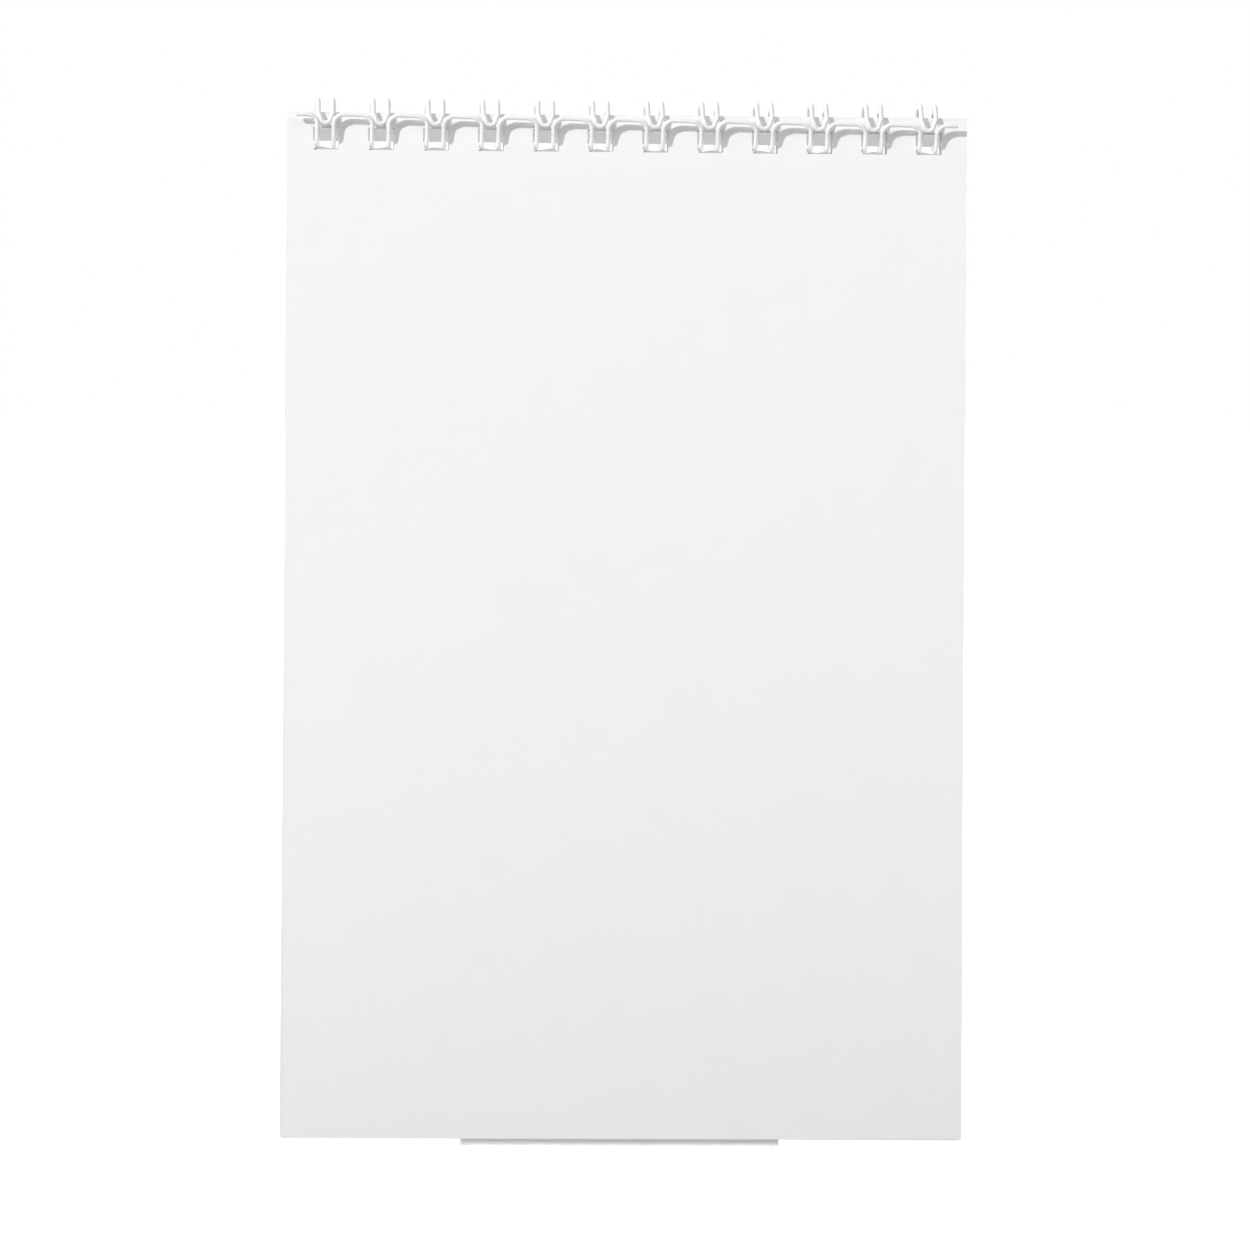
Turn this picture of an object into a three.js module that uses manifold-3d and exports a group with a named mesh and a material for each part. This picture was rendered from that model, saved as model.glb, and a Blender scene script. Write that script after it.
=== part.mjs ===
// A blank desk calendar: thirteen white leaves and a stiff back board, bound along the top with a
// twin-loop wire, standing on a double-wing card easel. Millimetres, +Z up, the front faces -Y.
import * as THREE from "three";
import { mergeVertices } from "three/addons/utils/BufferGeometryUtils.js";
import Module from "manifold-3d";

const wasm = await Module();
wasm.setup();

// The sheets. Everything upright is drawn standing straight, with z = 0 at the leaves' lower edge
// and y = 0 at the axis of the wire's rings, and then leans back as one.
const leafWidth = 105;
const leafHeight = 158;
const leafThickness = 0.12;
const leafGap = 0.06; // air between two leaves, and between the last leaf and the board
const frontLeafGap = 0.4; // the front leaf stands a little off the rest
const leafCount = 13;
const boardThickness = 1.0;
const boardTopDrop = 1.85; // the board's top edge below the leaves'; it hangs that much lower on the wire
const boardBack = 1.67; // from the ring axis back to the board's rear face
const lean = THREE.MathUtils.degToRad(12);
const frontLeafSkew = THREE.MathUtils.degToRad(-0.065); // the leaves hang a little askew in their play
const otherLeafSkew = THREE.MathUtils.degToRad(0.045);
const skewScatter = THREE.MathUtils.degToRad(0.02);
const skewStep = 2.4; // makes the scatter irregular from leaf to leaf

// The punched row: one square hole a loop, three to the inch
const loopCount = 12;
const loopPitch = 25.4 / 3;
const holeWidth = 4.0;
const holeHeight = 3.4;
const holeMargin = 2.3; // paper between a hole and the top edge

// The wire, one length bent into closed rings joined by straight bars at the front
const wireDiameter = 0.86;
const ringRadius = 3.55; // to the middle of the wire
const holeSeat = 0.16; // clearance between the rings and the lower edge of the holes
const barAngle = THREE.MathUtils.degToRad(21); // of the bars above the ring axis, at the front
const legSpread = 1.4; // from a loop's middle to each of its legs
const prongSpread = 1.25; // the same over the top of the ring
const bendRadius = 1.05; // from a leg into a bar
const tipRadius = 0.62; // of the rounded tip between two prongs
const tipReach = 0.49; // along the ring, from the bars down to the lowest point of a tip
const stubLength = 4.8; // from an end loop's middle to the cut end of the wire
const wireSides = 6;
const ringStep = THREE.MathUtils.degToRad(20);
const bendSteps = 3;
const tipSteps = 4;

// The easel, die-cut from one card and creased
const cardThickness = 0.6;
const tapeThickness = 0.2;
const tapeGap = 0.05; // on both sides of the tape
const tapeWidth = 9;
const tapeInset = 4; // from the panel's side and ends to the tape
const panelWidth = 49.2;
const panelTop = 112;
const panelDrop = 1.5; // the panel's lower edge below the leaves
const panelCorner = 5;
const creaseGap = 0.3; // between the pieces that meet at a crease
const wingDepth = 26.4;
const wingTopDepth = 7;
const wingTopDrop = 4; // from the panel's top down to the wings' top
const wingToe = 7; // height of the upright end of a wing above the desk
const wingCorner = 2.5;
const flapLength = 24;
const flapClearance = 0.3; // between the flap's sides and the wings
const flapTaper = 1.2; // each side draws in this much towards the free edge
const flapCorner = 3;
const flapRise = THREE.MathUtils.degToRad(16); // above square to the panel, so that it clears the desk
const flapCreaseRise = 0.7; // from the panel's lower edge up to the flap's crease

// Places that follow from the sizes above
const { mapLinear } = THREE.MathUtils;
const ringRear = Math.PI; // where the ring is furthest back and where it is highest, round from the front
const ringTop = 1.5 * Math.PI;
const wireRadius = wireDiameter / 2;
const ringHeight = leafHeight - holeMargin - holeHeight + ringRadius + wireRadius + holeSeat;
const holeTop = leafHeight - holeMargin;
const leafPitch = leafThickness + leafGap;
const lastLeafBack = boardBack - boardThickness - leafGap;
const panelFront = boardBack + tapeGap + tapeThickness + tapeGap;
const panelBack = panelFront + cardThickness;
const deskHeight = (y) => -panelDrop + (y - panelBack) * Math.tan(lean);

const paper = new THREE.MeshStandardMaterial({ color: 0xf4f4f2, roughness: 0.85, metalness: 0 });
const board = new THREE.MeshStandardMaterial({ color: 0xefefec, roughness: 0.85, metalness: 0 });
const card = new THREE.MeshStandardMaterial({ color: 0xececea, roughness: 0.85, metalness: 0 });
const tape = new THREE.MeshStandardMaterial({ color: 0xe4e2da, roughness: 0.6, metalness: 0 });
const coatedSteel = new THREE.MeshStandardMaterial({ color: 0xf6f6f6, roughness: 0.35, metalness: 0.3 });

const upright = new THREE.Group();
upright.rotation.x = -lean;

function addPiece(name, geometry, material) {
  const mesh = new THREE.Mesh(geometry, material);
  mesh.name = name;
  upright.add(mesh);
  return mesh;
}

// Joining and cutting: a closed mesh as a solid, and back again
function toSolid(geometry) {
  const bare = geometry.clone();
  bare.deleteAttribute("normal");
  bare.deleteAttribute("uv");
  const merged = mergeVertices(bare);
  return new wasm.Manifold(
    new wasm.Mesh({
      numProp: 3,
      vertProperties: merged.attributes.position.array,
      triVerts: new Uint32Array(merged.index.array),
    }),
  );
}

function toGeometry(solid) {
  const mesh = solid.getMesh();
  const geometry = new THREE.BufferGeometry();
  geometry.setAttribute("position", new THREE.Float32BufferAttribute(mesh.vertProperties, 3));
  geometry.setIndex(Array.from(mesh.triVerts));
  return geometry;
}

function rectangle(left, bottom, right, top) {
  const outline = new THREE.Shape();
  outline.moveTo(left, bottom);
  outline.lineTo(right, bottom);
  outline.lineTo(right, top);
  outline.lineTo(left, top);
  outline.closePath();
  return outline;
}

function extrude(outline, depth) {
  return new THREE.ExtrudeGeometry(outline, { depth, bevelEnabled: false, curveSegments: 4 });
}

// A sheet drawn in x and z, its rear face at y and its thickness towards the front
function uprightSheet(outline, thickness, rearFace) {
  return extrude(outline, thickness).rotateX(Math.PI / 2).translate(0, rearFace, 0);
}

// An outline through corners, each [across, up, radius], with the corners rounded
function roundedOutline(corners) {
  const points = corners.map(([across, up]) => new THREE.Vector2(across, up));
  const outline = new THREE.Shape();
  corners.forEach(([, , radius = 0], i) => {
    const corner = points[i];
    const before = points[(i + points.length - 1) % points.length].clone().sub(corner).normalize();
    const after = points[(i + 1) % points.length].clone().sub(corner).normalize();
    const reach = radius / Math.tan(before.angleTo(after) / 2);
    const start = corner.clone().addScaledVector(before, reach);
    const end = corner.clone().addScaledVector(after, reach);
    if (i === 0) outline.moveTo(start.x, start.y);
    else outline.lineTo(start.x, start.y);
    if (radius > 0) outline.quadraticCurveTo(corner.x, corner.y, end.x, end.y);
  });
  outline.closePath();
  return outline;
}

// Leaves and back board: a plain sheet with one punch through it for each loop
function punchedSheet(height, thickness, rearFace) {
  const outline = rectangle(-leafWidth / 2, 0, leafWidth / 2, height);
  let sheet = toSolid(uprightSheet(outline, thickness, rearFace));
  for (let i = 0; i < loopCount; i++) {
    const punch = new THREE.BoxGeometry(holeWidth, 3 * thickness, holeHeight);
    punch.translate(loopMiddle(i), rearFace - thickness / 2, height - holeMargin - holeHeight / 2);
    sheet = sheet.subtract(toSolid(punch));
  }
  return toGeometry(sheet);
}

// A leaf is turned a little in its own plane, about the middle of its punched row
function leafSkew(number) {
  if (number === 1) return frontLeafSkew;
  return otherLeafSkew + skewScatter * Math.sin(skewStep * number);
}

function loopMiddle(i) {
  return (i - (loopCount - 1) / 2) * loopPitch;
}

function leafBack(number) {
  const frontStep = number === 1 ? frontLeafGap - leafGap : 0;
  return lastLeafBack - (leafCount - number) * leafPitch - frontStep;
}

addPiece("back_board", punchedSheet(leafHeight - boardTopDrop, boardThickness, boardBack), board);
for (let number = 1; number <= leafCount; number++) {
  const leaf = punchedSheet(leafHeight, leafThickness, leafBack(number));
  leaf.translate(0, 0, -holeTop).rotateY(leafSkew(number)).translate(0, 0, holeTop);
  addPiece(`leaf_${String(number).padStart(2, "0")}`, leaf, paper);
}

// The wire's middle line. A point is given by x and by its angle round the ring axis, from straight
// forward and positive upwards.
function onRing(x, angle) {
  return new THREE.Vector3(x, -ringRadius * Math.cos(angle), ringHeight + ringRadius * Math.sin(angle));
}

// One side of a loop, from its bar down the front, through the hole, up the back and over the top
function loopSide() {
  const side = [];
  const bend = bendRadius / ringRadius;
  for (let k = 0; k <= bendSteps; k++) {
    const turn = (k / bendSteps) * (Math.PI / 2);
    side.push([
      legSpread + bendRadius * (1 - Math.sin(turn)),
      barAngle - bend * (1 - Math.cos(turn)),
    ]);
  }
  const tipMiddle = barAngle - (tipReach - tipRadius) / ringRadius;
  const legEnd = barAngle - bend;
  const sweep = 2 * Math.PI - (tipMiddle - legEnd);
  const steps = Math.round(sweep / ringStep);
  for (let k = 1; k <= steps; k++) {
    const angle = legEnd - (sweep * k) / steps;
    const fallen = -angle; // how far round from the front
    let spread = legSpread;
    if (fallen > ringTop) {
      spread = mapLinear(fallen, ringTop, 2 * Math.PI - tipMiddle, prongSpread, tipRadius);
    } else if (fallen > ringRear) {
      spread = mapLinear(fallen, ringRear, ringTop, legSpread, prongSpread);
    }
    side.push([spread, angle]);
  }
  return { side, tipMiddle };
}

function wireLine() {
  const points = [];
  const { side, tipMiddle } = loopSide();
  points.push(onRing(loopMiddle(0) - stubLength, barAngle));
  for (let i = 0; i < loopCount; i++) {
    const middle = loopMiddle(i);
    for (const [spread, angle] of side) points.push(onRing(middle - spread, angle));
    for (let k = 1; k < tipSteps; k++) {
      const turn = (k / tipSteps) * Math.PI;
      const angle = tipMiddle - (tipRadius / ringRadius) * Math.sin(turn);
      points.push(onRing(middle - tipRadius * Math.cos(turn), angle));
    }
    for (const [spread, angle] of [...side].reverse()) points.push(onRing(middle + spread, angle));
  }
  points.push(onRing(loopMiddle(loopCount - 1) + stubLength, barAngle));
  return points;
}

// A closed tube of even section along a line of points, its frame carried along without twist
function tube(points, radius, sides) {
  const position = [];
  const index = [];
  const along = points.map((point, i) => {
    const before = points[Math.max(i - 1, 0)];
    const after = points[Math.min(i + 1, points.length - 1)];
    const into = point.clone().sub(before).normalize();
    const out = after.clone().sub(point).normalize();
    return into.add(out).normalize();
  });
  let across = new THREE.Vector3(0, 0, 1);
  points.forEach((point, i) => {
    across = across.clone().addScaledVector(along[i], -across.dot(along[i])).normalize();
    const other = along[i].clone().cross(across);
    for (let s = 0; s < sides; s++) {
      const angle = (2 * Math.PI * s) / sides;
      const rim = point
        .clone()
        .addScaledVector(across, radius * Math.cos(angle))
        .addScaledVector(other, radius * Math.sin(angle));
      position.push(rim.x, rim.y, rim.z);
    }
    if (i === 0) return;
    for (let s = 0; s < sides; s++) {
      const a = (i - 1) * sides + s;
      const b = (i - 1) * sides + ((s + 1) % sides);
      index.push(a, b, b + sides, a, b + sides, a + sides);
    }
  });
  const last = (points.length - 1) * sides;
  for (let s = 1; s < sides - 1; s++) {
    index.push(0, s + 1, s);
    index.push(last, last + s, last + s + 1);
  }
  const geometry = new THREE.BufferGeometry();
  geometry.setAttribute("position", new THREE.Float32BufferAttribute(position, 3));
  geometry.setIndex(index);
  return mergeVertices(geometry);
}

addPiece("binding_wire", tube(wireLine(), wireRadius, wireSides), coatedSteel);

// The easel's centre panel stands on its own lower edge, just below the leaves
const panelOutline = roundedOutline([
  [-panelWidth / 2, -panelDrop],
  [panelWidth / 2, -panelDrop],
  [panelWidth / 2, panelTop, panelCorner],
  [-panelWidth / 2, panelTop, panelCorner],
]);
addPiece("easel_centre_panel", uprightSheet(panelOutline, cardThickness, panelBack), card);

// Two strips of double-sided tape hold it to the board
const tapeOutline = rectangle(-tapeWidth / 2, tapeInset, tapeWidth / 2, panelTop - tapeInset);
const tapeOffset = panelWidth / 2 - tapeInset - tapeWidth / 2;
for (const [side, sign] of [["left", -1], ["right", 1]]) {
  const strip = uprightSheet(tapeOutline, tapeThickness, panelFront - tapeGap);
  addPiece(`panel_tape_${side}`, strip.translate(sign * tapeOffset, 0, 0), tape);
}

// A wing is drawn in y and z. Its lower edge is cut along the desk, and its rear edge slopes in to
// the top.
const wingFront = panelBack + creaseGap;
const wingHeel = wingFront + wingDepth;
const wingOutline = roundedOutline([
  [wingFront, deskHeight(wingFront)],
  [wingHeel, deskHeight(wingHeel)],
  [wingHeel, deskHeight(wingHeel) + wingToe, wingCorner],
  [wingFront + wingTopDepth, panelTop - wingTopDrop, wingCorner],
  [wingFront, panelTop - wingTopDrop],
]);
const sideways = new THREE.Matrix4().makeBasis(
  new THREE.Vector3(0, 1, 0),
  new THREE.Vector3(0, 0, 1),
  new THREE.Vector3(1, 0, 0),
);
for (const [side, innerFace] of [["left", -panelWidth / 2], ["right", panelWidth / 2 - cardThickness]]) {
  const wing = extrude(wingOutline, cardThickness).applyMatrix4(sideways).translate(innerFace, 0, 0);
  addPiece(`easel_wing_${side}`, wing, card);
}

// The flap runs back from its crease at the foot of the panel, between the wings
const flapHalf = panelWidth / 2 - cardThickness - flapClearance;
const flapOutline = roundedOutline([
  [-flapHalf, creaseGap],
  [flapHalf, creaseGap],
  [flapHalf - flapTaper, flapLength, flapCorner],
  [flapTaper - flapHalf, flapLength, flapCorner],
]);
const flapSheet = extrude(flapOutline, cardThickness).translate(0, 0, -cardThickness);
const flap = addPiece("easel_lock_flap", flapSheet, card);
flap.position.set(0, panelBack, flapCreaseRise - panelDrop);
flap.rotation.x = flapRise;

// The calendar stands on the origin, centred on its own box
const calendar = new THREE.Group();
calendar.add(upright);
calendar.updateMatrixWorld(true);
const extent = new THREE.Box3().setFromObject(calendar, true);
upright.position.set(0, -(extent.min.y + extent.max.y) / 2, -extent.min.z);

export default calendar;
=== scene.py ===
# A blank white desk calendar on its card easel, in a plain pale studio
import math

import bpy
from mathutils import Matrix, Vector


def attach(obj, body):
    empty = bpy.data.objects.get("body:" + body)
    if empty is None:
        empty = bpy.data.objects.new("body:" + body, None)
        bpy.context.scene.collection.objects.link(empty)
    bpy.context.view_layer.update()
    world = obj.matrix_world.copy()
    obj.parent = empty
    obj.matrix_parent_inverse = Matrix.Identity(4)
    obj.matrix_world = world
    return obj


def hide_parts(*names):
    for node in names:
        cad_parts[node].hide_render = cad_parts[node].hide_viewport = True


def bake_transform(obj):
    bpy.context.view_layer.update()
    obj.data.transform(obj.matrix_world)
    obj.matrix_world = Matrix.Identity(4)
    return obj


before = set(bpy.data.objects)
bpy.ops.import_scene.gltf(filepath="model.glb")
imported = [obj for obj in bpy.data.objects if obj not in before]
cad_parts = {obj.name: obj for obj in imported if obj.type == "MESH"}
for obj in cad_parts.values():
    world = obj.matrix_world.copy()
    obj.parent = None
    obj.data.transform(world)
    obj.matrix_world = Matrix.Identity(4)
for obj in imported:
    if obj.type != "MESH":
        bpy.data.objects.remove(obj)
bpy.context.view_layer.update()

MM = 0.001
LEAN = math.radians(12)

# The calendar's own directions: up the leaves, back through them and across
UP = Vector((0, math.sin(LEAN), math.cos(LEAN)))
BACK = Vector((0, math.cos(LEAN), -math.sin(LEAN)))
ACROSS = Vector((1, 0, 0))

# Sizes shared with the CAD part, in millimetres. Depths are behind the axis of the wire's rings,
# and heights are above the leaves' lower edge.
LEAF_HEIGHT = 158
LEAF_FRONT = -2.01
LEAF_02_BACK = -1.37
BOARD_REAR = 1.67
LOOPS = 12
LOOP_PITCH = 25.4 / 3
HOLE_HALF = 2.0
HOLE_FOOT = 152.3
RING_HEIGHT = 156.44
RING_RADIUS = 3.55
PANEL_WIDTH = 49.2
PANEL_REAR = 2.57
PANEL_DROP = 1.5
CARD = 0.6
CREASE_GAP = 0.3
WING_TOP = 108
FLAP_CREASE = -0.8
FLAP_RISE = math.radians(16)
FLAP_HALF = 23.7

# The wire as it is pressed in the photograph, flatter than the CAD part's round one. Its angles go
# up round the ring from the front, and a pair is for the left and the right end of the row.
WIRE_RADIUS = 0.36
WIRE_SHIFT = -0.1
STUB_LENGTH = 4.5
BAR_ANGLES = (math.radians(19), math.radians(5.5))
BEND_ACROSS = 1.7  # of the bend from a bar into a leg
BEND_ALONG = 1.45
LEG_SPREAD = 1.28
LEG_FOOT = math.radians(-36)  # where a leg enters its hole
LEG_EASE = math.radians(8)
PRONG_SPREAD = 1.12
PRONG_TUCK = 0.45
TUCK_START = math.radians(90)  # over the top of the ring
TUCK_END = math.radians(20)
TIP_ENDS = (math.radians(-2.5), math.radians(-8))
TIP_RADIUS = 0.78
TIP_NECK = 0.9  # along the ring, from where a prong narrows to its tip

# Where a loop's legs start to close up, and the ring's top, both as the way gone round from the front
# and under the ring
NARROWING = 1.3 * math.pi
RING_TOP = 1.5 * math.pi


def board_corner():
    """The back board's lower rear edge, found on the CAD node, as (back, up) in metres."""
    points = [v.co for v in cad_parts["back_board"].data.vertices]
    return max(p.dot(BACK) for p in points), min(p.dot(UP) for p in points)


REAR, FOOT = board_corner()


def at(across, back, up):
    """The point at so many of the calendar's own millimetres from its middle, ring axis and lower edge."""
    depth = REAR + (back - BOARD_REAR) * MM
    return ACROSS * (across * MM) + BACK * depth + UP * (FOOT + up * MM)


LEAF_MIDDLE = at(0, LEAF_FRONT, LEAF_HEIGHT / 2)

# Shader building
WHITE = (1, 1, 1, 1)


class Nodes:
    """The node tree of a material or a world, built by short calls that return sockets."""

    SOCKETS = {
        "colour": "Base Color",
        "rough": "Roughness",
        "normal": "Normal",
        "specular": "Specular IOR Level",
        "metallic": "Metallic",
    }

    def __init__(self, owner, shader):
        self.owner = owner
        owner.use_nodes = True
        self.tree = owner.node_tree
        self.shader = self.tree.nodes[shader]

    def add(self, kind, inputs=(), **settings):
        node = self.tree.nodes.new(kind)
        for key, value in settings.items():
            setattr(node, key, value)
        for key, value in dict(inputs).items():
            self.put(node.inputs[key], value)
        return node

    def put(self, socket, value):
        if isinstance(value, bpy.types.NodeSocket):
            self.tree.links.new(value, socket)
        else:
            socket.default_value = value

    def coordinates(self):
        return self.add("ShaderNodeTexCoord").outputs["Object"]

    def stretched(self, vector, scale, rotation=(0, 0, 0)):
        node = self.add("ShaderNodeMapping", {"Vector": vector, "Scale": scale, "Rotation": rotation})
        return node.outputs["Vector"]

    def noise(self, vector, scale, detail, roughness):
        """Noise of so many waves to the unit, which is a metre where the vector isn't stretched."""
        inputs = {"Vector": vector, "Scale": scale, "Detail": detail, "Roughness": roughness}
        return self.add("ShaderNodeTexNoise", inputs).outputs["Fac"]

    def spread(self, value, low, high, to_low=0.0, to_high=1.0):
        inputs = {"Value": value, "From Min": low, "From Max": high, "To Min": to_low, "To Max": to_high}
        return self.add("ShaderNodeMapRange", inputs).outputs["Result"]

    def mix(self, factor, a, b):
        node = self.add("ShaderNodeMix", data_type="RGBA")
        self.put(node.inputs["Factor"], factor)
        colours = [s for s in node.inputs if s.type == "RGBA"]
        self.put(colours[0], a)
        self.put(colours[1], b)
        return next(s for s in node.outputs if s.type == "RGBA")

    def math(self, operation, a, b=0.0):
        node = self.add("ShaderNodeMath", operation=operation)
        self.put(node.inputs[0], a)
        self.put(node.inputs[1], b)
        return node.outputs[0]

    def times(self, a, b):
        return self.math("MULTIPLY", a, b)

    def shares(self, a, share_a, b, share_b):
        return self.math("ADD", self.times(a, share_a), self.times(b, share_b))

    def component(self, vector, way):
        """How much of a vector lies along one of the calendar's directions."""
        node = self.add("ShaderNodeVectorMath", operation="DOT_PRODUCT")
        self.put(node.inputs[0], vector)
        self.put(node.inputs[1], tuple(way))
        return node.outputs["Value"]

    def fading(self, place, way, full, gone):
        """1 down to 0 between two of the calendar's own millimetres, along UP or BACK."""
        zero = FOOT if way is UP else REAR - BOARD_REAR * MM
        return self.spread(self.component(place, way), zero + full * MM, zero + gone * MM, 1.0, 0.0)

    def bump(self, height, strength, depth, over=None):
        """A normal for a relief so many millimetres deep, over another such relief."""
        node = self.add("ShaderNodeBump", {"Height": height, "Strength": strength, "Distance": depth * MM})
        if over is not None:
            self.put(node.inputs["Normal"], over)
        return node.outputs["Normal"]

    def seen(self):
        """1 where the camera sees it, also in metal and through glass, and 0 where it lights the object."""
        path = self.add("ShaderNodeLightPath")
        plain = self.math("MAXIMUM", path.outputs["Is Camera Ray"], path.outputs["Is Glossy Ray"])
        return self.math("MAXIMUM", plain, path.outputs["Is Transmission Ray"])

    # painted light: makes a surface glow white though it is no lamp
    def glow(self, strength):
        self.put(self.shader.inputs["Emission Color"], WHITE)
        self.put(self.shader.inputs["Emission Strength"], strength)

    def finish(self, **values):
        for key, value in values.items():
            self.put(self.shader.inputs[self.SOCKETS[key]], value)
        return self.owner


def material_nodes(name):
    return Nodes(bpy.data.materials.new(name), "Principled BSDF")


def grey(level, warmth=0.0):
    return (level, level * (1 - warmth / 2), level * (1 - warmth), 1)


# The patterns of paper and card, in waves to the metre, and its stray specks: a speck's radius as a
# share of its cell, and the share of the cells that have none
PAPER_CLOUDS = 140
FIBRE_LONG = 700
FIBRE_FINE = 2600
PAPER_TOOTH = 5200
SPECK_CELLS = 26
SPECK_RADIUS = 0.0045
SPECKLESS = 0.8
SPECK_STRENGTH = 0.75
SEED_TURN = (0.3, 0.2, 0.7)  # turns the patterns of each material another way


def specks(n, place):
    """Specks of bark and shive, far apart."""
    inputs = {"Vector": place, "Scale": SPECK_CELLS, "Randomness": 1.0}
    cells = n.add("ShaderNodeTexVoronoi", inputs, feature="F1")
    speck = n.math("LESS_THAN", cells.outputs["Distance"], SPECK_RADIUS)
    draw = n.add("ShaderNodeSeparateColor", {"Color": cells.outputs["Color"]}).outputs["Red"]
    return n.times(n.times(speck, n.math("GREATER_THAN", draw, SPECKLESS)), SPECK_STRENGTH)


def paper_material(name, level, warmth, seed, fibre=1.0, mottle=0.004, roughness=0.72):
    """Uncoated white paper: faint cloudy formation, short crossed fibres and a fine tooth."""
    n = material_nodes(name)
    place = n.stretched(n.coordinates(), (1, 1, 1), tuple(turn * seed for turn in SEED_TURN))
    clouds = n.noise(place, PAPER_CLOUDS, detail=4, roughness=0.6)
    one_way = n.stretched(place, (FIBRE_FINE, FIBRE_LONG, FIBRE_LONG), (0.4, 0.3, 0.8))
    other_way = n.stretched(place, (FIBRE_LONG, FIBRE_LONG, FIBRE_FINE), (-0.3, 0.6, -0.5))
    crossed = [n.noise(way, 1.0, detail=3, roughness=0.55) for way in (one_way, other_way)]
    fibres = n.shares(crossed[0], 0.5, crossed[1], 0.5)
    tooth = n.noise(place, PAPER_TOOTH, detail=2, roughness=0.5)

    pale = grey(level + mottle, warmth)
    dull = grey(level - mottle, warmth * 1.15)
    dark = grey(level - 2.2 * mottle, warmth)
    colour = n.mix(n.spread(clouds, 0.35, 0.65), dull, pale)
    colour = n.mix(n.spread(fibres, 0.36, 0.64, 0.0, 0.35), colour, dark)
    colour = n.mix(specks(n, place), colour, grey(0.12, 0.1))

    waves = n.bump(clouds, strength=0.12, depth=0.4)
    relief = n.shares(fibres, 0.6, tooth, 0.4)
    return n.finish(
        colour=colour,
        rough=n.spread(fibres, 0.3, 0.7, roughness - 0.05, roughness + 0.06),
        normal=n.bump(relief, strength=0.16 * fibre, depth=0.03, over=waves),
        specular=0.35,
    )


# Where the board faces this squarely forward or back, it is one of its faces and not a cut edge
SQUARELY = 0.7
BOARD_PAINTED_GLOW = (0.22, 0.31)


def board_material():
    """Lined board: white faces with painted light glowing from the front one, and a greyer layered core where
    the edge is cut.
    """
    n = material_nodes("lined board")
    place = n.coordinates()
    normal = n.add("ShaderNodeNewGeometry").outputs["True Normal"]
    facing = n.component(normal, BACK)

    clouds = n.noise(place, 120, detail=4, roughness=0.6)
    face = n.mix(n.spread(clouds, 0.3, 0.7), grey(0.84, 0.01), grey(0.855, 0.008))
    layers = n.noise(n.stretched(place, (300, 9000, 300), (LEAN, 0, 0)), 1.0, detail=3, roughness=0.6)
    core = n.mix(n.spread(layers, 0.3, 0.7), grey(0.60, 0.05), grey(0.74, 0.04))
    edge = n.math("LESS_THAN", n.math("ABSOLUTE", facing), SQUARELY)

    # painted light: the board's front face glows white, for the light that thin white paper lets through to
    # it round the holes
    front = n.math("LESS_THAN", facing, -SQUARELY)
    speckle = n.noise(place, 2600, detail=3, roughness=0.6)
    n.glow(n.times(front, n.spread(speckle, 0.3, 0.7, *BOARD_PAINTED_GLOW)))

    tooth = n.noise(place, 3800, detail=3, roughness=0.55)
    return n.finish(
        colour=n.mix(edge, face, core),
        rough=0.7,
        normal=n.bump(tooth, strength=0.2, depth=0.04),
        specular=0.35,
    )


def tape_material():
    """Double-sided tape: a hazy film, a little yellower than the card."""
    n = material_nodes("double-sided tape")
    haze = n.noise(n.coordinates(), 700, detail=3, roughness=0.5)
    return n.finish(
        colour=n.mix(n.spread(haze, 0.3, 0.7), grey(0.68, 0.05), grey(0.76, 0.04)),
        rough=n.spread(haze, 0.3, 0.7, 0.28, 0.42),
        normal=n.bump(haze, strength=0.1, depth=0.05),
    )


# Painted light: the glow of the legs' feet, and the heights and depths over which it fades, in millimetres
LEG_PAINTED_GLOW = 0.42
LEG_PAINTED_GLOW_HEIGHTS = (HOLE_FOOT + 0.2, HOLE_FOOT + 2.4)
LEG_PAINTED_GLOW_DEPTHS = (LEAF_FRONT + 1.2, LEAF_FRONT + 3.0)


def wire_material():
    """White polymer-coated steel: a satin skin with a faint ripple, thin flow marks and light rubbing, and
    painted light glowing from the feet of the legs.
    """
    n = material_nodes("coated wire")
    place = n.coordinates()
    ripple = n.noise(place, 900, detail=3, roughness=0.5)
    flow = n.noise(place, 260, detail=2, roughness=0.5)
    rub = n.noise(place, 1500, detail=2, roughness=0.6)
    colour = n.mix(n.spread(flow, 0.35, 0.65), grey(0.80, 0.004), grey(0.85, 0.002))
    colour = n.mix(n.spread(rub, 0.68, 0.8, 0.0, 0.3), colour, grey(0.72, 0.01))

    # painted light: the feet of the legs glow white, for the light that the paper round the holes lets
    # through to them
    foot = n.fading(place, UP, *LEG_PAINTED_GLOW_HEIGHTS)
    front = n.fading(place, BACK, *LEG_PAINTED_GLOW_DEPTHS)
    n.glow(n.times(n.times(foot, front), LEG_PAINTED_GLOW))
    return n.finish(
        colour=colour,
        rough=n.spread(ripple, 0.3, 0.7, 0.28, 0.42),
        normal=n.bump(ripple, strength=0.12, depth=0.06),
        specular=0.5,
    )


def steel_material():
    """The bare steel of the wire's cut ends, with the shears' drag marks."""
    n = material_nodes("cut steel")
    drag = n.noise(n.stretched(n.coordinates(), (6000, 6000, 900)), 1.0, detail=3, roughness=0.6)
    return n.finish(
        colour=n.mix(n.spread(drag, 0.3, 0.7), grey(0.30), grey(0.46)),
        rough=0.42,
        metallic=0.9,
        normal=n.bump(drag, strength=0.3, depth=0.03),
    )


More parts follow.
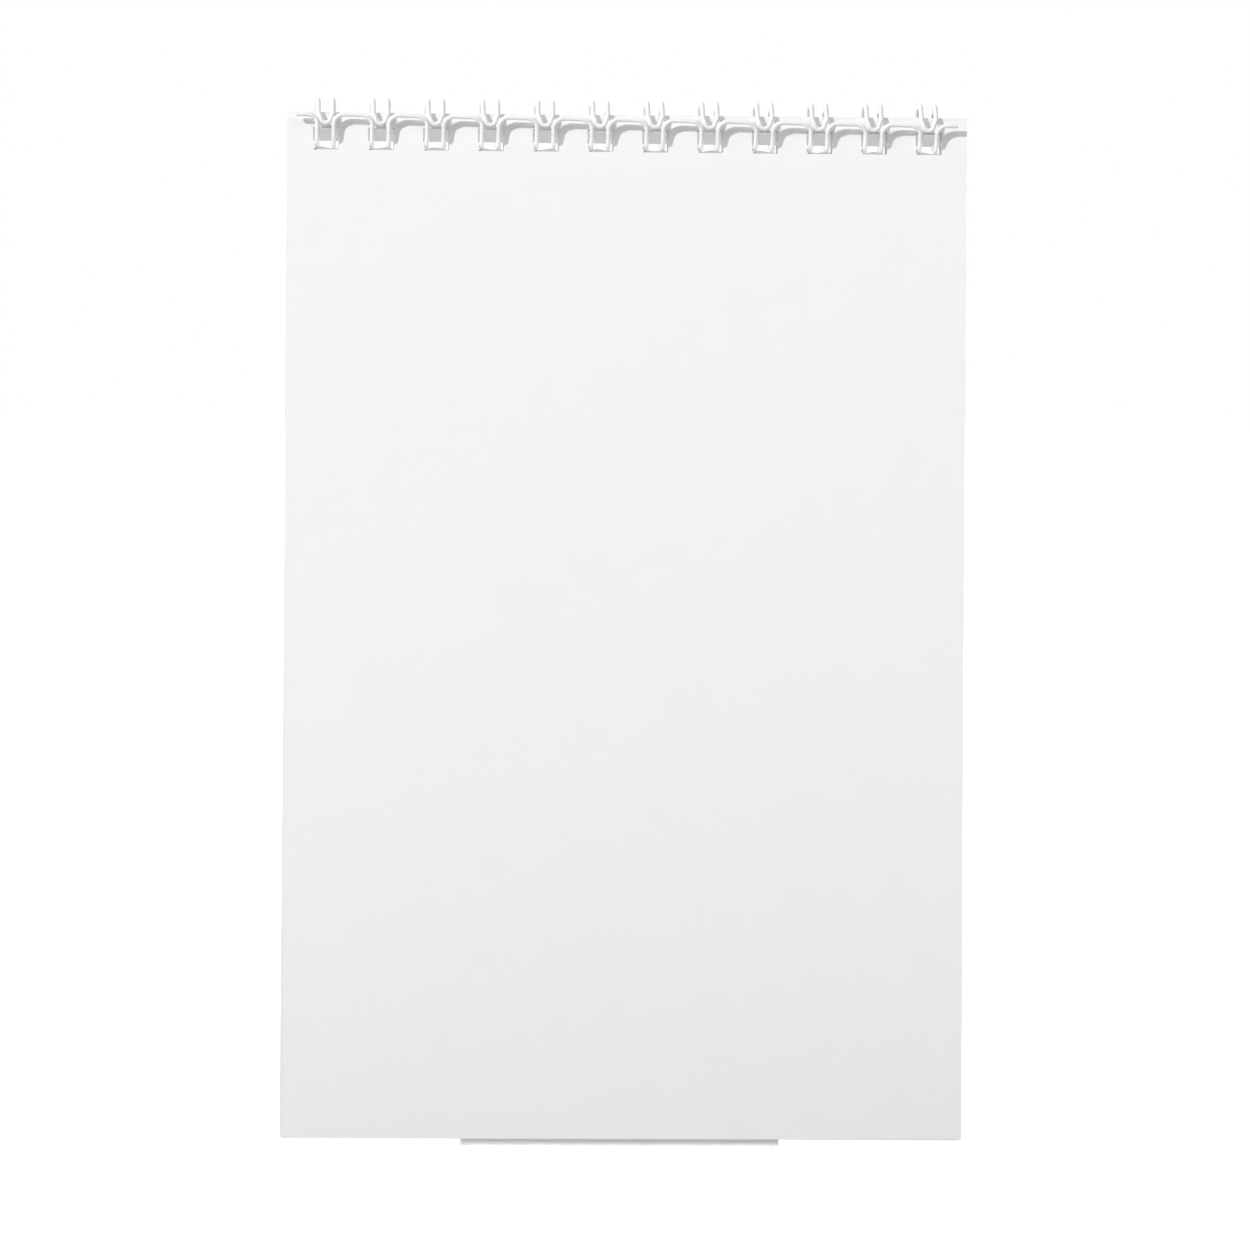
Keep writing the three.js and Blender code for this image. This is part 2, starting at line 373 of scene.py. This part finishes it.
# Card is made as paper is, smoother and with stronger clouds
MATERIALS = {
    "front leaf": paper_material("leaf paper, front leaf", level=0.885, warmth=0.004, seed=1),
    "leaf": paper_material("leaf paper", level=0.875, warmth=0.006, seed=2),
    # painted shade: the rims' paper is the leaf paper at a darker level, for the shade at the foot of the
    # holes
    "rim": paper_material("leaf paper, punched rim, painted shade", level=0.56, warmth=0.006, seed=3),
    "board": board_material(),
    "card": paper_material(
        "easel card", level=0.84, warmth=0.008, seed=4, fibre=0.7, mottle=0.005, roughness=0.62
    ),
    "tape": tape_material(),
    "wire": wire_material(),
    "steel": steel_material(),
}

# The material of the nodes whose names start like this, the first that fits
DRESS = {
    "leaf_01": "front leaf",
    "leaf": "leaf",
    "back_board": "board",
    "panel_tape": "tape",
    "easel": "card",
    "binding_wire": "wire",
}

for name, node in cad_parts.items():
    material = next(DRESS[start] for start in DRESS if name.startswith(start))
    node.data.materials.clear()
    node.data.materials.append(MATERIALS[material])


def new_piece(name, points, faces, materials):
    mesh = bpy.data.meshes.new(name)
    mesh.from_pydata([tuple(p) for p in points], [], faces)
    mesh.update()
    piece = bpy.data.objects.new(name, mesh)
    for material in materials:
        mesh.materials.append(MATERIALS[material])
    bpy.context.scene.collection.objects.link(piece)
    return piece


# The wire, bent in fine steps along the CAD part's path, with the straight legs, the tips tucked in
# behind the bars and the bars that stand lower towards the right of the photographed one
WIRE_SIDES = 20
RING_STEPS = 64
BEND_STEPS = 10
TIP_STEPS = 14
STEEL_SHARE = 0.84  # of the wire's radius, inside its coating
SHARP_ANGLE = math.radians(40)


def remap(value, low, high, to_low, to_high):
    return to_low + (to_high - to_low) * (value - low) / (high - low)


def ease(value):
    value = min(max(value, 0), 1)
    return value * value * (3 - 2 * value)


def on_ring(across, angle, radius=RING_RADIUS, pull=0):
    """A point on a ring of that radius, pulled back from it by so much."""
    return at(across, pull - radius * math.cos(angle), RING_HEIGHT + radius * math.sin(angle))


def leg_pull(angle, bar_angle):
    """How far a leg lies behind the full circle: it is straight from its bar to where it enters its hole."""
    half = (bar_angle - LEG_FOOT) / 2
    off = abs(angle - (bar_angle + LEG_FOOT) / 2)
    if off >= half:
        return 0
    return RING_RADIUS * (math.cos(off) - math.cos(half)) * ease((half - off) / LEG_EASE)


def prong_radius(angle):
    """The ring's radius along a prong, whose tip is tucked in behind the bars."""
    return RING_RADIUS - PRONG_TUCK * ease(remap(angle, TUCK_START, TUCK_END, 0, 1))


def loop_side(bar_angle, tip_middle):
    """One side of a loop, from its bar to its prong's tip, as (spread, angle, radius, pull) steps."""
    side = []
    bend = BEND_ALONG / RING_RADIUS
    for k in range(BEND_STEPS + 1):
        turn = k / BEND_STEPS * math.pi / 2
        angle = bar_angle - bend * (1 - math.cos(turn))
        spread = LEG_SPREAD + BEND_ACROSS * (1 - math.sin(turn))
        side.append((spread, angle, RING_RADIUS, leg_pull(angle, bar_angle)))
    leg_end = bar_angle - bend
    sweep = 2 * math.pi - (tip_middle - leg_end)
    neck = tip_middle + TIP_NECK / RING_RADIUS
    for k in range(1, RING_STEPS + 1):
        gone = sweep * k / RING_STEPS - leg_end
        if gone > RING_TOP:
            angle = 2 * math.pi - gone
            narrow = ease(remap(angle, neck, tip_middle, 0, 1))
            spread = PRONG_SPREAD + (TIP_RADIUS - PRONG_SPREAD) * narrow
            side.append((spread, angle, prong_radius(angle), 0))
        else:
            narrow = ease(remap(gone, NARROWING, RING_TOP, 0, 1))
            spread = LEG_SPREAD + (PRONG_SPREAD - LEG_SPREAD) * narrow
            side.append((spread, -gone, RING_RADIUS, leg_pull(-gone, bar_angle)))
    return side


def wire_line():
    """The wire's middle line: a stub, every loop out round the ring, over the tip and back, and a stub."""
    first = (0.5 - LOOPS / 2) * LOOP_PITCH + WIRE_SHIFT
    line = [on_ring(first - STUB_LENGTH, BAR_ANGLES[0])]
    for i in range(LOOPS):
        middle = first + i * LOOP_PITCH
        bar_angle = remap(i, 0, LOOPS - 1, *BAR_ANGLES)
        tip_end = remap(i, 0, LOOPS - 1, *TIP_ENDS)
        tip_ring = prong_radius(tip_end)
        tip_middle = tip_end + TIP_RADIUS / tip_ring
        side = loop_side(bar_angle, tip_middle)
        line += [on_ring(middle - spread, *rest) for spread, *rest in side]
        for k in range(1, TIP_STEPS):
            turn = k / TIP_STEPS * math.pi
            angle = tip_middle - TIP_RADIUS / tip_ring * math.sin(turn)
            line.append(on_ring(middle - TIP_RADIUS * math.cos(turn), angle, prong_radius(angle)))
        line += [on_ring(middle + spread, *rest) for spread, *rest in reversed(side)]
    line.append(on_ring(first + (LOOPS - 1) * LOOP_PITCH + STUB_LENGTH, BAR_ANGLES[1]))
    return line


def tube(line, radius, sides):
    """Points and faces of a round tube along a line, its frame carried along without twist."""
    points, faces = [], []
    across = UP
    for i, place in enumerate(line):
        into = (place - line[max(i - 1, 0)]).normalized()
        out = (line[min(i + 1, len(line) - 1)] - place).normalized()
        along = (into + out).normalized()
        across = (across - along * across.dot(along)).normalized()
        other = along.cross(across)
        for s in range(sides):
            angle = 2 * math.pi * s / sides
            points.append(place + (across * math.cos(angle) + other * math.sin(angle)) * radius)
        if i:
            start = (i - 1) * sides
            for s in range(sides):
                t = (s + 1) % sides
                faces.append((start + s, start + t, start + sides + t, start + sides + s))
    return points, faces


def cut_end(points, faces, start, centre, outward):
    """A thin rim of coating round a face of bare steel. outward is 1, or -1 at the tube's start."""
    rim = len(points)
    points += [centre + (points[start + s] - centre) * STEEL_SHARE for s in range(WIRE_SIDES)]
    for s in range(WIRE_SIDES):
        t = (s + 1) % WIRE_SIDES
        faces.append((start + s, start + t, rim + t, rim + s)[::outward])
    faces.append(tuple(range(rim, rim + WIRE_SIDES))[::outward])


def add_wire():
    line = wire_line()
    points, faces = tube(line, WIRE_RADIUS * MM, WIRE_SIDES)
    last = len(points) - WIRE_SIDES
    walls = len(faces)
    cut_end(points, faces, 0, line[0], -1)
    cut_end(points, faces, last, line[-1], 1)
    wire = new_piece("wire", points, faces, ("wire", "steel"))
    for face in wire.data.polygons[walls:]:
        if len(face.vertices) == WIRE_SIDES:
            face.material_index = 1
    wire.data.polygons.foreach_set("use_smooth", [True] * len(wire.data.polygons))
    wire.data.set_sharp_from_angle(angle=SHARP_ANGLE)
    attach(wire, "wire")
    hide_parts("binding_wire")


add_wire()

# The creases: the card carries on through each fold, with the score pressed in on one side and
# raised on the other. The skins of the wings' creases start a little above the panel's lower edge.
SCORE_DEPTH = 0.09
BEAD_HEIGHT = 0.07
CREASE_COLUMNS = 8
CREASE_TRIM = 0.1


def crease(name, start, end, thick_way, ends):
    """A strip of card across a fold from start to end, and along it between the two ends."""
    points, faces = [], []
    for c in range(CREASE_COLUMNS + 1):
        t = c / CREASE_COLUMNS
        ridge = math.sin(math.pi * t)
        place = start.lerp(end, t)
        for along in ends:
            points.append(place + along - thick_way * (SCORE_DEPTH * ridge * MM))
            points.append(place + along - thick_way * ((CARD + BEAD_HEIGHT * ridge) * MM))
    for c in range(CREASE_COLUMNS):
        a = 4 * c
        b = a + 4
        faces += [(a, a + 2, b + 2, b), (a + 1, b + 1, b + 3, a + 3)]
        faces += [(a, b, b + 1, a + 1), (a + 2, a + 3, b + 3, b + 2)]
    last = 4 * CREASE_COLUMNS
    faces += [(0, 1, 3, 2), (last, last + 2, last + 3, last + 1)]
    piece = new_piece(name, points, faces, ("card",))
    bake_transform(piece)


def wing_crease(side, sign):
    start = at(sign * PANEL_WIDTH / 2, PANEL_REAR, 0)
    end = at(sign * PANEL_WIDTH / 2, PANEL_REAR + CREASE_GAP, 0)
    ends = (UP * (-PANEL_DROP + CREASE_TRIM) * MM, UP * WING_TOP * MM)
    crease(f"crease_wing_{side}", start, end, ACROSS * sign, ends)


def flap_crease():
    away = BACK * math.cos(FLAP_RISE) + UP * math.sin(FLAP_RISE)
    above = UP * math.cos(FLAP_RISE) - BACK * math.sin(FLAP_RISE)
    start = at(0, PANEL_REAR, FLAP_CREASE)
    end = start + away * (CREASE_GAP * MM)
    ends = (ACROSS * -FLAP_HALF * MM, ACROSS * FLAP_HALF * MM)
    crease("crease_flap", start, end, above, ends)


wing_crease("left", -1)
wing_crease("right", 1)
flap_crease()

# What the punch leaves: a soft raised rim along the lower edge of each hole, on the second leaf, its paper
# painted darker as shade.
# Its height varies along the hole and from hole to hole, and falls to nothing at both ends.
RIM_HEIGHT = 0.45
RIM_FRONT = LEAF_02_BACK - 0.10
RIM_BACK = LEAF_02_BACK - 0.02
RIM_FOOT = HOLE_FOOT - 0.05
RIM_COLUMNS = 12
RIM_LOW = 0.75
RIM_WAVE = 0.25
WAVE_ALONG = 7
WAVE_ON = 2.3
RIM_RISE = 6


def punch_rims():
    points, faces = [], []
    for i in range(LOOPS):
        middle = (i - (LOOPS - 1) / 2) * LOOP_PITCH
        first = len(points)
        for c in range(RIM_COLUMNS + 1):
            t = c / RIM_COLUMNS
            across = middle - HOLE_HALF + 2 * HOLE_HALF * t
            height = RIM_HEIGHT * (RIM_LOW + RIM_WAVE * math.sin(WAVE_ALONG * t + WAVE_ON * i))
            top = HOLE_FOOT + height * min(1, RIM_RISE * t, RIM_RISE * (1 - t))
            for back, up in ((RIM_FRONT, RIM_FOOT), (RIM_FRONT, top), (RIM_BACK, top), (RIM_BACK, RIM_FOOT)):
                points.append(at(across, back, up))
            if c:
                b = len(points) - 4
                a = b - 4
                faces += [(a + k, b + k, b + (k + 1) % 4, a + (k + 1) % 4) for k in range(4)]
        last = len(points) - 1
        faces += [(first, first + 1, first + 2, first + 3), (last, last - 1, last - 2, last - 3)]
    rims = new_piece("punch_rims", points, faces, ("rim",))
    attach(rims, "leaf_02")


punch_rims()

# The studio: a floor and a world that show about white to the camera and light the object less. The
# floor's own colour goes from a darker to a paler grey between these two distances, in metres.
FLOOR_SIZE = 1.2
FLOOR_NEAR = 0.11
FLOOR_FAR = 0.19
FLOOR_GLOW = 0.92
WORLD_LIGHT = 0.2


def floor_material():
    n = material_nodes("pale floor")
    place = n.coordinates()
    away = n.add("ShaderNodeVectorMath", {0: place}, operation="LENGTH").outputs["Value"]
    grain = n.noise(place, 60, detail=3, roughness=0.5)
    near = n.mix(grain, grey(0.40), grey(0.42))
    far = n.mix(grain, grey(0.82), grey(0.86))
    n.finish(colour=n.mix(n.spread(away, FLOOR_NEAR, FLOOR_FAR), near, far), rough=0.9, specular=0.1)
    glow = n.add("ShaderNodeEmission", {"Color": WHITE, "Strength": n.times(n.seen(), FLOOR_GLOW)})
    both = n.add("ShaderNodeAddShader", {0: n.shader.outputs[0], 1: glow.outputs[0]})
    n.put(n.tree.nodes["Material Output"].inputs["Surface"], both.outputs[0])
    return n.owner


def studio_floor():
    bpy.ops.mesh.primitive_plane_add(size=FLOOR_SIZE, location=(0, 0, 0))
    floor = bpy.context.object
    floor.name = "floor"
    floor.data.materials.append(floor_material())


def studio_world():
    n = Nodes(bpy.data.worlds.new("studio"), "Background")
    n.put(n.shader.inputs["Color"], WHITE)
    n.put(n.shader.inputs["Strength"], n.spread(n.seen(), 0, 1, WORLD_LIGHT, 1.0))
    bpy.context.scene.world = n.owner


studio_floor()
studio_world()

# The lamps. The thin ones that stand for the desk are this wide, in millimetres, and aim up by this
# much for each length back.
DESK_LAMP_WIDTH = PANEL_WIDTH + 8
DESK_LAMP_TILT = 0.1


def new_lamp(name, shape, size, power, place, aim):
    data = bpy.data.lights.new(name, "AREA")
    data.shape = shape
    data.size = size
    data.energy = power
    piece = bpy.data.objects.new(name, data)
    piece.location = place
    piece.rotation_euler = aim.to_track_quat("-Z", "Y").to_euler()
    bpy.context.scene.collection.objects.link(piece)
    return piece


def leaf_lamp(name, left, up, distance, size, power):
    """A round lamp aimed at the middle of the leaves from so many degrees left of and above their normal."""
    left = math.radians(left)
    up = math.radians(up)
    forward = -BACK * math.cos(left) * math.cos(up)
    sideways = ACROSS * math.sin(left) * math.cos(up)
    toward = forward - sideways + UP * math.sin(up)
    new_lamp(name, "DISK", size, power, LEAF_MIDDLE + toward * distance, -toward)


def desk_lamp(name, back, up, height, power):
    """What a white desk throws back under the leaves: a wide thin lamp, unseen, aimed at the panel's foot."""
    aim = BACK + UP * DESK_LAMP_TILT
    lamp = new_lamp(name, "RECTANGLE", DESK_LAMP_WIDTH * MM, power, at(0, back, up), aim)
    lamp.data.size_y = height * MM
    lamp.visible_camera = False
    lamp.visible_glossy = False


leaf_lamp("key", left=47, up=28, distance=3.0, size=0.12, power=68.7)
leaf_lamp("soft top", left=-22, up=48, distance=0.7, size=0.6, power=1.4)
leaf_lamp("rear fill", left=150, up=38, distance=1.3, size=0.8, power=9.0)
desk_lamp("foot", back=LEAF_FRONT + 0.5, up=-1.2, height=1.0, power=0.00014)
desk_lamp("foot edge", back=1.4, up=-1.6, height=0.3, power=0.00022)

# The camera, nearly square to the leaves: it stands a little to the left, and its distance is a guess.
# The photograph's pixels give the scale, from the pitch of the loops, and the place of the leaves.
PHOTO_SIDE = 1250
LOOP_PITCH_PX = 54.86
LEAF_MIDDLE_PX = (624.6, 627.2)
VIEW_WIDTH = PHOTO_SIDE / LOOP_PITCH_PX * LOOP_PITCH * MM
CAMERA_DISTANCE = 1.2
CAMERA_YAW = math.radians(3.0)
CAMERA_ROLL = math.radians(0.4)
SENSOR_WIDTH = 36


def camera():
    toward = -BACK * math.cos(CAMERA_YAW) - ACROSS * math.sin(CAMERA_YAW)
    right = UP.cross(toward).normalized()
    over = right.cross(-toward).normalized()
    turn = Matrix.Rotation(CAMERA_ROLL, 3, toward)
    data = bpy.data.cameras.new("camera")
    data.sensor_width = SENSOR_WIDTH
    data.lens = SENSOR_WIDTH * CAMERA_DISTANCE / VIEW_WIDTH
    data.clip_start = 0.01
    data.clip_end = 50
    data.shift_x = -(LEAF_MIDDLE_PX[0] - PHOTO_SIDE / 2) / PHOTO_SIDE
    data.shift_y = (LEAF_MIDDLE_PX[1] - PHOTO_SIDE / 2) / PHOTO_SIDE
    piece = bpy.data.objects.new("camera", data)
    axes = Matrix((turn @ right, turn @ over, toward)).transposed().to_4x4()
    piece.matrix_world = Matrix.Translation(LEAF_MIDDLE + toward * CAMERA_DISTANCE) @ axes
    bpy.context.scene.collection.objects.link(piece)
    bpy.context.scene.camera = piece


camera()
bpy.context.scene.view_settings.view_transform = "Standard"
